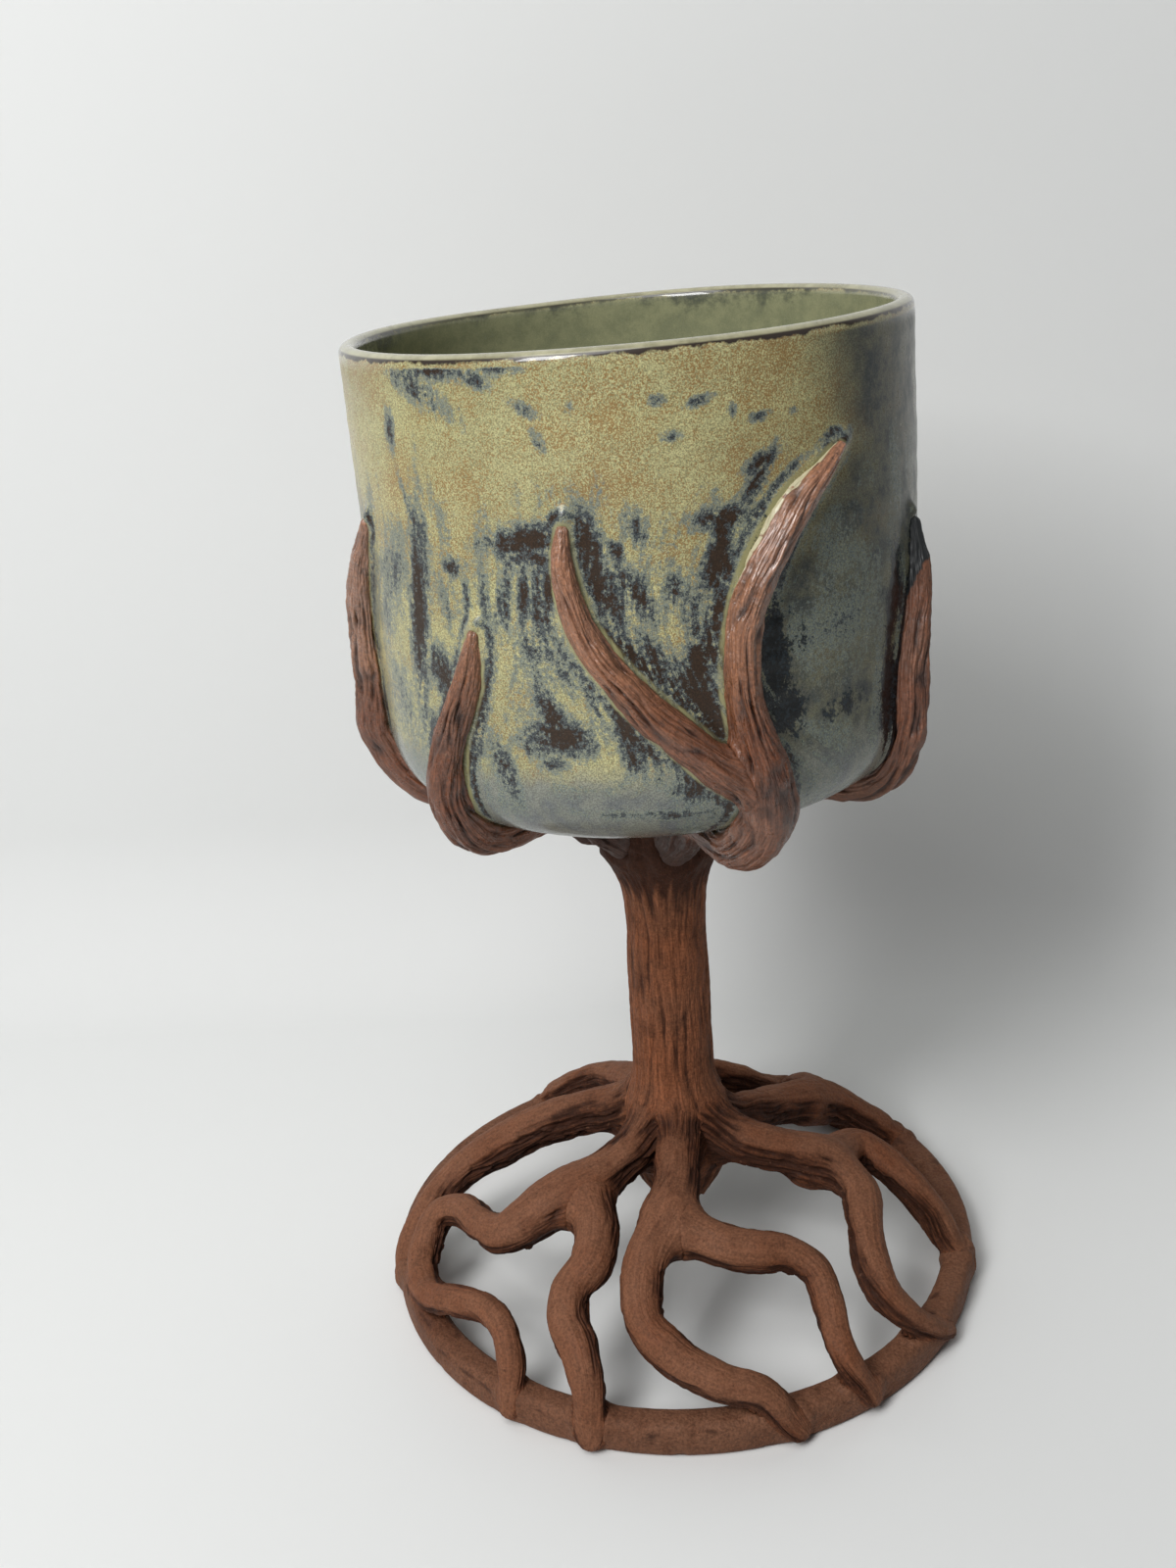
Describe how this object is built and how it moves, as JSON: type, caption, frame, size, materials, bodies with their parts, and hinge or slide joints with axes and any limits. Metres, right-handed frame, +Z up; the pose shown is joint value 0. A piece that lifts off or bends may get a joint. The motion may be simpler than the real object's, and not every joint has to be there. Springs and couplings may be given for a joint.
{
  "type": "goblet",
  "caption": "Ceramic goblet: a straight-walled glazed cup gripped by clay branches on a tree-trunk stem, whose winding roots arch down to a round foot ring.",
  "frame": {"origin": "on the table, at the centre of the foot ring's flat underside", "axes": "+Z up along the trunk to the cup's rim, -Y towards the viewer of the picture, +X to the viewer's right"},
  "size_m": [0.1139, 0.113, 0.1808],
  "materials": {
    "cup_glaze": "gloss",
    "trunk_clay": "matte",
    "root_clay": "matte",
    "branch_clay": "matte",
    "ring_clay": "matte"
  },
  "bodies": {
    "root": {"cup": "cup_glaze", "trunk": "trunk_clay", "foot_ring": "ring_clay", "root_front": "root_clay", "root_front_fork": "root_clay", "root_left_front": "root_clay", "root_left_fork": "root_clay", "root_right_front": "root_clay", "root_right": "root_clay", "root_left": "root_clay", "root_back_left": "root_clay", "root_right_back": "root_clay", "root_back_fork": "root_clay", "root_back": "root_clay", "branch_front": "branch_clay", "branch_front_fork": "branch_clay", "branch_left_front": "branch_clay", "branch_left": "branch_clay", "branch_right": "branch_clay", "branch_right_back": "branch_clay", "branch_back": "branch_clay", "branch_left_back": "branch_clay"}
  },
  "joints": []
}
